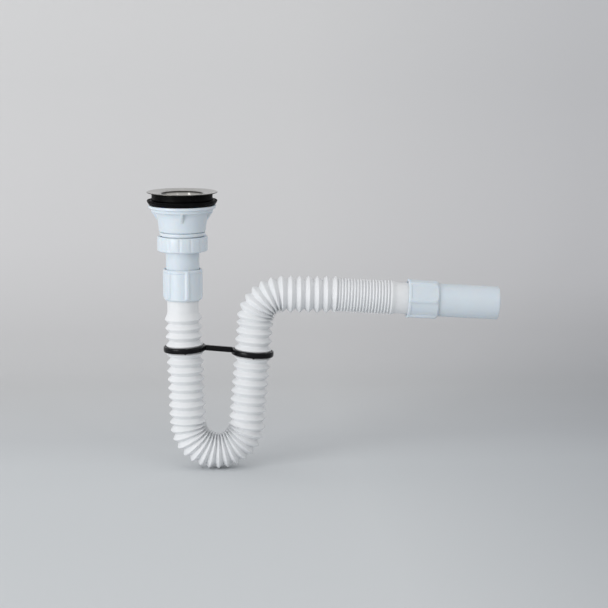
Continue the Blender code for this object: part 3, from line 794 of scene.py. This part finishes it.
def makeSlipNut(name, place, first, body, node):
    s = slipNutSizes
    tip = s["radius"] + s["ribHeight"]
    length = s["length"]
    plain = s["radius"]

    def under(limit, least=0.0):
        return lambda angle: max(min(ribbedRadius(angle, s, first), limit), least)

    start = plain - s["chamfer"] / 2
    slope = (tip - start) / s["chamfer"]
    rows = [(0, under(start - 0.0003)), (0.00012, under(start))]
    for step in range(1, 9):
        z = s["chamfer"] * step / 8
        rows.append((z, under(start + slope * z - 0.0002 * max(0, step - 6))))
    rows += [
        (s["chamfer"] + 0.0007, under(tip)),
        (length * 0.5, under(tip)),
        (length - s["collarHeight"] - 0.0004, under(tip)),
        (length - s["collarHeight"] - 0.0001, under(tip, s["collarRadius"] - 0.0002)),
        (length - s["collarHeight"] + 0.0002, under(tip, s["collarRadius"])),
        (length - 0.0010, under(tip, s["collarRadius"])),
        (length - 0.0004, under(s["collarRadius"])),
        (length - 0.0001, under(s["collarRadius"] - 0.0004)),
        (length, under(s["collarRadius"] - 0.0008)),
        (length, lambda angle: s["threadBore"] + 0.0004),
        (length - 0.0004, lambda angle: s["threadBore"]),
        (s["lip"], lambda angle: s["threadBore"]),
        (s["lip"], lambda angle: s["pipeHole"]),
        (0.0004, lambda angle: s["pipeHole"]),
        (0, lambda angle: s["pipeHole"] + 0.0004),
    ]
    shape = bmesh.new()
    ribbedShell(shape, rows, place)
    settle(shape, name, fittingWhite, "fitting_plastic", body, node, crease=24)


pipeSizes = {
    "radius": 0.0166,
    "wall": 0.0021,
    "threadRadius": 0.0174,
    "threadLength": 0.0140,
    "threadMargin": 0.0018,
    "threadPitch": 0.0026,
    "collarHeight": 0.0017,
    "endRounding": 0.0011,
}


def makeTailpiece():
    s = pipeSizes
    low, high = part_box("tailpiece")
    bore = s["radius"] - s["wall"]
    collar = high.z - s["collarHeight"]
    shape = bmesh.new()
    spinLoop(shape, [
        (high.x, high.z, 0.0004),
        (high.x, collar, 0.0004),
        (s["radius"], collar, 0.0003),
        (s["radius"], low.z, 0.0005),
        (bore, low.z, 0.0003),
        (bore, high.z, 0.0003),
    ], 128)
    depth = s["threadRadius"] - s["radius"]
    start, end = low.z + s["threadMargin"], low.z + s["threadLength"]
    addThread(shape, s["radius"], depth, start, end, s["threadPitch"])
    settle(shape, "tailpiecePipe", fittingWhite, "fitting_plastic", "tailpiece", "tailpiece")


def makeOutletPipe(place):
    s = pipeSizes
    bore = s["radius"] - s["wall"]
    top = slipNutSizes["lip"] + clearance + s["collarHeight"]
    show = outletSizes["show"]
    shape = bmesh.new()
    spinLoop(shape, [
        (s["threadRadius"], top, 0.0004),
        (s["threadRadius"], top - s["collarHeight"], 0.0004),
        (s["radius"], top - s["collarHeight"], 0.0003),
        (s["radius"], -show * 0.4, 0),
        (s["radius"], -show * 0.8, 0),
        (s["radius"], -show, s["endRounding"]),
        (bore, -show, 0.0005),
        (bore, top, 0.0003),
    ], 144, place)
    settle(shape, "outletPipe", fittingWhite, "fitting_plastic", "outlet_pipe", "outlet_pipe")


hoseSizes = {
    "cuffRadius": 0.0156,
    "boreRadius": 0.0141,
    "beadRadius": 0.0171,
    "beadHeight": 0.0025,
    "beadInNut": 0.0103,
    "inletCuff": 0.0232,
    "taper": 0.0045,
    "cuffShow": 0.0122,
    "firstRidge": 0.0061,
    "legLean": math.radians(2.2),
    "legLength": 0.1123,
    "bendRadius": 0.0295,
    "riseLean": math.radians(4.6),
    "riseLength": 0.1062,
    "elbowRadius": 0.0273,
    "runFall": math.radians(1.2),
    "runLength": 0.0520,
    "armFall": math.radians(3.6),
    "pitches": (0.00868, 0.00597, 0.00867, 0.00629, 0.00890),
    "packed": 18,
    "packedPitch": 0.00307,
    "peak": 0.0186,
    "valley": 0.0142,
    "sheet": 0.0013,
    "bulge": 0.0002,
    "runBulge": 0.0003,
    "packedPeak": 0.0175,
    "packedValley": 0.0152,
    "sides": 96,
}

outletSizes = {
    "show": 0.0608,
    "hoseEndInNut": 0.0086,
    "turn": math.radians(1.5),
}

lowerNutTurn = math.radians(13.5)


def stretchLengths():
    s = hoseSizes
    up = math.pi / 2 - s["riseLean"]
    bend = s["bendRadius"] * (up + math.pi / 2 - s["legLean"])
    elbow = s["elbowRadius"] * (up + s["runFall"])
    return [s["legLength"], bend, s["riseLength"], elbow, s["runLength"]]


def advance(start, heading, length, radius):
    if radius == 0:
        return start + length * Vector((math.cos(heading), math.sin(heading))), heading
    turn = length / radius
    centre = start + radius * Vector((-math.sin(heading), math.cos(heading)))
    return centre - radius * Vector((-math.sin(heading + turn), math.cos(heading + turn))), heading + turn


def routeStretches(cuffEnd):
    s = hoseSizes
    start = Vector((0, cuffEnd))
    heading = s["legLean"] - math.pi / 2
    stretches = []
    for length, radius in zip(stretchLengths(), (0, s["bendRadius"], 0, -s["elbowRadius"], 0)):
        stretches.append((start, heading, length, radius))
        start, heading = advance(start, heading, length, radius)
    stretches.append((start, -s["armFall"], 1.0, 0))
    return stretches


def pointAt(route, distance):
    if distance < 0:
        start = route[0][0]
        return start + Vector((0, -distance)), -math.pi / 2
    for start, heading, length, radius in route:
        if distance <= length:
            return advance(start, heading, distance, radius)
        distance -= length


def ridgeList():
    s = hoseSizes
    lengths = stretchLengths()
    lengths[0] -= s["firstRidge"]
    place = s["firstRidge"]
    ridges = [(place, s["peak"], s["valley"], 0)]
    for stretch, (length, pitch) in enumerate(zip(lengths, s["pitches"])):
        for index in range(round(length / pitch)):
            place += pitch
            ridges.append((place, s["peak"], s["valley"], stretch))
    for index in range(s["packed"]):
        place += s["packedPitch"]
        ridges.append((place, s["packedPeak"], s["packedValley"], 5))
    return ridges


def tubeShape(name, route, sections, sides):
    # a curve with a radius at each point, turned into a mesh with open ends
    curve = bpy.data.curves.new(name, "CURVE")
    curve.dimensions = "3D"
    curve.twist_mode = "MINIMUM"
    curve.bevel_depth = 1.0
    curve.bevel_resolution = sides // 2 - 2
    line = curve.splines.new("POLY")
    line.points.add(len(sections) - 1)
    for point, (distance, radius) in zip(line.points, sections):
        (x, z), heading = pointAt(route, distance)
        point.co = (x, 0, z, 1)
        point.radius = radius
    work = bpy.data.objects.new(name, curve)
    bpy.context.collection.objects.link(work)
    bpy.context.view_layer.update()
    graph = bpy.context.evaluated_depsgraph_get()
    mesh = bpy.data.meshes.new_from_object(work.evaluated_get(graph))
    bpy.data.objects.remove(work, do_unlink=True)
    return mesh


def makeHose():
    s = hoseSizes
    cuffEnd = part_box("lower_nut")[0].z + s["beadInNut"] - s["inletCuff"]
    route = routeStretches(cuffEnd)
    ridges = ridgeList()
    inNut = slipNutSizes["length"] - outletSizes["hoseEndInNut"]
    end = ridges[-1][0] + s["taper"] + s["cuffShow"] + inNut
    top = -s["inletCuff"]
    line = [
        (top, s["beadRadius"], 0),
        (top + s["beadHeight"], s["beadRadius"], 0.0005),
        (top + s["beadHeight"] + 0.0003, s["cuffRadius"], 0.0002),
        (0, s["cuffRadius"], 0.0016),
    ]
    for index, (place, peak, valley, stretch) in enumerate(ridges):
        packed = stretch == 5
        line.append((place, peak, 0.0005 if packed else 0.0006))
        if index + 1 < len(ridges):
            later = ridges[index + 1]
            middle = (place + later[0]) / 2
            if stretch == 5 or later[3] == 5:
                line.append((middle, later[2], 0.0004))
                continue
            flank = (peak + later[2]) / 2 + (s["runBulge"] if stretch >= 3 else s["bulge"])
            line.append(((place + middle) / 2, flank, 0))
            line.append((middle, later[2], 0.0005))
            line.append(((later[0] + middle) / 2, flank, 0))
    line += [
        (ridges[-1][0] + s["taper"], s["cuffRadius"], 0.0014),
        (end - s["beadHeight"] - 0.0003, s["cuffRadius"], 0.0002),
        (end - s["beadHeight"], s["beadRadius"], 0.0005),
        (end, s["beadRadius"], 0),
    ]
    sections = [(p.x, p.y) for p in roundedLine(line, 2, closed=False)]
    bore = [(top, s["boreRadius"]), (0.001, s["boreRadius"])]
    for index, (place, peak, valley, stretch) in enumerate(ridges):
        bore.append((place, peak - s["sheet"]))
        if index + 1 < len(ridges):
            later = ridges[index + 1]
            bore.append(((place + later[0]) / 2, later[2] - s["sheet"]))
    bore += [(ridges[-1][0] + s["taper"], s["boreRadius"]), (end, s["boreRadius"])]
    shape = bmesh.new()
    for name, chain in (("hoseOutside", sections), ("hoseInside", bore)):
        mesh = tubeShape(name, route, chain, s["sides"])
        shape.from_mesh(mesh)
        bpy.data.meshes.remove(mesh)
    bmesh.ops.remove_doubles(shape, verts=shape.verts, dist=weldDistance)
    rims = [e for e in shape.edges if e.is_boundary]
    nearTop = [e for e in rims if e.verts[0].co.x < s["bendRadius"]]
    nearEnd = [e for e in rims if e.verts[0].co.x >= s["bendRadius"]]
    bmesh.ops.bridge_loops(shape, edges=nearTop)
    bmesh.ops.bridge_loops(shape, edges=nearEnd)
    piece = settle(shape, "bellowsHose", hoseWhite, "hose_plastic", None, "hose", crease=50)
    armStart = sum(stretchLengths())
    (x0, z0), heading = pointAt(route, armStart)
    (x1, z1), heading = pointAt(route, ridges[-1][0] + s["taper"])
    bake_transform(piece)
    return piece, route, ridges


clipSizes = {
    "inner": 0.01895,
    "thickness": 0.0022,
    "height": 0.0055,
    "ribTip": 0.0166,
    "lift": 0.0005,
    "barHeight": 0.0053,
    "barDrop": 0.0004,
    "barRaise": 0.0014,
    "barWidth": 0.0040,
    "barRounding": 0.0006,
    "legRidge": 4,
    "riseRidge": 9,
    "nubRadius": 0.0011,
    "nubSink": 0.0008,
}


def makeClip(route, ridges):
    s = clipSizes
    outer = s["inner"] + s["thickness"]
    half = s["height"] / 2
    section = [
        (outer, half, 0.0019),
        (outer, -half, 0.0019),
        (s["inner"], -half, 0.0009),
        (s["inner"], -half * 0.7, 0),
        (s["ribTip"], -0.0004, 0.0003),
        (s["ribTip"], 0.0004, 0.0003),
        (s["inner"], half * 0.7, 0),
        (s["inner"], half, 0.0009),
    ]
    firstRise = [index for index, ridge in enumerate(ridges) if ridge[3] == 2][0] - 1
    places = []
    for ridge, lift in ((s["legRidge"], -s["lift"]), (firstRise + s["riseRidge"], s["lift"])):
        (x, z), heading = pointAt(route, (ridges[ridge - 1][0] + ridges[ridge][0]) / 2 + lift)
        places.append(along((x, 0, z), (math.cos(heading), 0, math.sin(heading))))
    shape = bmesh.new()
    for place, lower in zip(places, (half, -half)):
        spinLoop(shape, section, 112, place, rounding=6)
        nub = place @ Matrix.Translation((0, -outer + s["nubSink"], lower * 0.9))
        bmesh.ops.create_icosphere(shape, subdivisions=3, radius=s["nubRadius"], matrix=nub)
    wall = Vector((s["thickness"] / 2 - outer, 0, 0))
    start, end = places[0] @ wall, places[1] @ wall
    start.z -= s["barDrop"]
    end.z += s["barRaise"]
    size = (s["barHeight"], s["barWidth"], (end - start).length)
    middle = along((start + end) / 2, end - start) @ Matrix.Diagonal((*size, 1))
    bar = bmesh.ops.create_cube(shape, size=1, matrix=middle)
    bmesh.ops.bevel(
        shape,
        geom=list({e for v in bar["verts"] for e in v.link_edges}),
        offset=s["barRounding"],
        segments=3,
        profile=0.5,
        affect="EDGES",
        material=-1,
    )
    settle(shape, "hoseClip", clipBlack, "black_plastic", "hose", "hose_clip", crease=35)


makeFlange()
makeScrew()
makeSeals()
cup = makeCup()
addBridges(cup)
settle(cup, "wasteCup", fittingWhite, "fitting_plastic", "waste", "waste_body", crease=30)
makeUpperNut()
makeTailpiece()
inletPlace = Matrix.Translation((0, 0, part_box("lower_nut")[0].z))
makeSlipNut("inletNut", inletPlace, lowerNutTurn - math.pi / 2, "lower_nut", "lower_nut")
outletPlace = along(armMiddle + armAxis * slipNutSizes["length"] / 2, -armAxis)
outletFirst = outletSizes["turn"] - math.pi / 2
makeSlipNut("outletNut", outletPlace, outletFirst, "outlet_nut", "outlet_nut")
makeOutletPipe(outletPlace)
hosePiece, hoseRoute, hoseRidges = makeHose()
makeClip(hoseRoute, hoseRidges)

for nodeName, look in {
    "threaded_insert": turnedBrass,
    "tailpiece_washer": sealRubber,
    "inlet_washer": sealRubber,
    "outlet_washer": sealRubber,
    "inlet_slip_ring": fittingWhite,
    "outlet_sleeve": fittingWhite,
}.items():
    node = frame["nodes"][nodeName]
    for slotItem in node.material_slots:
        slotItem.material = look
print("trap: kept nodes finished")


studio = {
    "floorNear": -1.6,
    "wallFoot": 0.78,
    "coveRadius": 0.34,
    "coveSteps": 12,
    "wallTop": 1.6,
    "halfWidth": 2.4,
    "world": 0.74,
    "reach": 1.4,
    # the sweep's tone along the floor and up the wall, painted shade on pale paper: darker on the floor
    # behind the trap, darkest low in the cove, lighter again towards the wall
    "colours": (
        (0.02, (0.665, 0.69, 0.71)),
        (0.14, (0.625, 0.645, 0.665)),
        (0.40, (0.64, 0.65, 0.66)),
        (0.63, (0.60, 0.602, 0.612)),
        (0.85, (0.64, 0.64, 0.65)),
        (1.20, (0.665, 0.665, 0.67)),
    ),
    # painted shade towards the right: between these x places the sweep is multiplied by the floor's and
    # the wall's darker colours
    "rightShadeStart": 0.17,
    "rightShadeEnd": 0.55,
    "floorRightShade": (0.70, 0.71, 0.73),
    "wallRightShade": (0.885, 0.89, 0.905),
    "foot": 0.35,
    "upright": 0.75,
}


def makeSweep(floorZ):
    s = studio
    shape = bmesh.new()
    profile = [(s["floorNear"], floorZ)]
    for step in range(s["coveSteps"] + 1):
        turn = step / s["coveSteps"] * math.pi / 2
        profile.append((
            s["wallFoot"] - s["coveRadius"] + s["coveRadius"] * math.sin(turn),
            floorZ + s["coveRadius"] * (1 - math.cos(turn)),
        ))
    profile.append((s["wallFoot"], s["wallTop"]))
    line = [shape.verts.new((-s["halfWidth"], y, z)) for y, z in profile]
    edges = [shape.edges.new(pair) for pair in zip(line, line[1:])]
    pulled = bmesh.ops.extrude_edge_only(shape, edges=edges)["geom"]
    moved = [v for v in pulled if isinstance(v, bmesh.types.BMVert)]
    bmesh.ops.translate(shape, verts=moved, vec=(2 * s["halfWidth"], 0, 0))
    mesh = bpy.data.meshes.new("studioSweep")
    bmesh.ops.recalc_face_normals(shape, faces=shape.faces)
    if sum(face.normal.z for face in shape.faces) < 0:
        bmesh.ops.reverse_faces(shape, faces=shape.faces)
    shape.to_mesh(mesh)
    shape.free()
    mesh.shade_smooth()
    made, tree, shader = startMaterial("sweepPaper", 0.9)
    place = objectPlace(tree)
    split = tree.nodes.new("ShaderNodeSeparateXYZ")
    tree.links.new(place, split.inputs["Vector"])
    run = tree.nodes.new("ShaderNodeMath")
    run.operation = "ADD"
    tree.links.new(split.outputs["Y"], run.inputs[0])
    tree.links.new(split.outputs["Z"], run.inputs[1])
    # painted shade along the sweep, from the tone ramp
    ramp = tree.nodes.new("ShaderNodeValToRGB")
    reached = remap(tree, run.outputs["Value"], 0, 1, floorZ, floorZ + s["reach"])
    tree.links.new(reached, ramp.inputs["Fac"])
    stops = ramp.color_ramp.elements
    for index, (distance, colour) in enumerate(s["colours"]):
        stop = stops[index] if index < 2 else stops.new(distance / s["reach"])
        stop.position = distance / s["reach"]
        stop.color = (*colour, 1)
    upright = remap(tree, run.outputs["Value"], 0, 1, floorZ + s["foot"], floorZ + s["upright"])
    # painted shade towards the right, blended from the floor's colour to the wall's
    across = remap(tree, split.outputs["X"], 0, 1, s["rightShadeStart"], s["rightShadeEnd"])
    colour = tree.nodes.new("ShaderNodeMix")
    colour.data_type = "RGBA"
    colour.blend_type = "MULTIPLY"
    tree.links.new(across, colour.inputs["Factor"])
    tree.links.new(ramp.outputs["Color"], colour.inputs["A"])
    tree.links.new(blendColours(tree, upright, s["floorRightShade"], s["wallRightShade"]), colour.inputs["B"])
    tree.links.new(colour.outputs["Result"], shader.inputs["Base Color"])
    shader.inputs["Specular IOR Level"].default_value = 0.1
    # seen from behind, the paper lets the trap show through
    clear = tree.nodes.new("ShaderNodeBsdfTransparent")
    choose = tree.nodes.new("ShaderNodeMixShader")
    side = tree.nodes.new("ShaderNodeNewGeometry")
    tree.links.new(side.outputs["Backfacing"], choose.inputs["Fac"])
    tree.links.new(shader.outputs["BSDF"], choose.inputs[1])
    tree.links.new(clear.outputs["BSDF"], choose.inputs[2])
    tree.links.new(choose.outputs["Shader"], tree.nodes["Material Output"].inputs["Surface"])
    mesh.materials.append(made)
    sweep = bpy.data.objects.new("studioSweep", mesh)
    bpy.context.collection.objects.link(sweep)


def areaLight(name, place, target, width, height, power):
    data = bpy.data.lights.new(name, "AREA")
    data.shape = "RECTANGLE"
    data.size = width
    data.size_y = height
    data.energy = power
    lamp = bpy.data.objects.new(name, data)
    bpy.context.collection.objects.link(lamp)
    lamp.location = place
    lamp.rotation_euler = (Vector(target) - Vector(place)).to_track_quat("-Z", "Y").to_euler()


floorZ = min(v.co.z for v in hosePiece.data.vertices) - 0.0001
makeSweep(floorZ)

# each lamp's place, target, width, height and power
lampSizes = {
    "keyFromLeft": ((-2.6, -2.15, 0.14), (0.1, 0, -0.12), 1.8, 1.5, 63),
    "cardOnRight": ((0.94, -1.76, 1.15), (0, 0, 0), 0.30, 0.30, 1.0),
    "cardOnLeft": ((-1.43, -1.38, 1.15), (0, 0, 0), 0.42, 0.34, 1.6),
}
for lampName, lampValues in lampSizes.items():
    areaLight(lampName, *lampValues)

world = bpy.data.worlds.new("studioWorld")
world.use_nodes = True
world.node_tree.nodes["Background"].inputs["Color"].default_value = (1, 1, 1, 1)
world.node_tree.nodes["Background"].inputs["Strength"].default_value = studio["world"]
bpy.context.scene.world = world

cameraSizes = {
    "target": (0.12055, 0, -0.1055),
    "distance": 2.200,
    "yaw": math.radians(4),
    "fall": math.radians(9),
    "sensor": 36,
    "lens": 2205 / 608 * 36,
}


def makeCamera():
    s = cameraSizes
    look = Vector((
        math.sin(s["yaw"]) * math.cos(s["fall"]),
        math.cos(s["yaw"]) * math.cos(s["fall"]),
        -math.sin(s["fall"]),
    ))
    data = bpy.data.cameras.new("photoCamera")
    data.sensor_width = s["sensor"]
    data.lens = s["lens"]
    camera = bpy.data.objects.new("photoCamera", data)
    bpy.context.collection.objects.link(camera)
    camera.location = Vector(s["target"]) - look * s["distance"]
    camera.rotation_euler = look.to_track_quat("-Z", "Y").to_euler()
    bpy.context.scene.camera = camera


makeCamera()
bpy.context.scene.view_settings.view_transform = "Standard"
bpy.context.view_layer.update()
print("trap: floor, light and camera set")
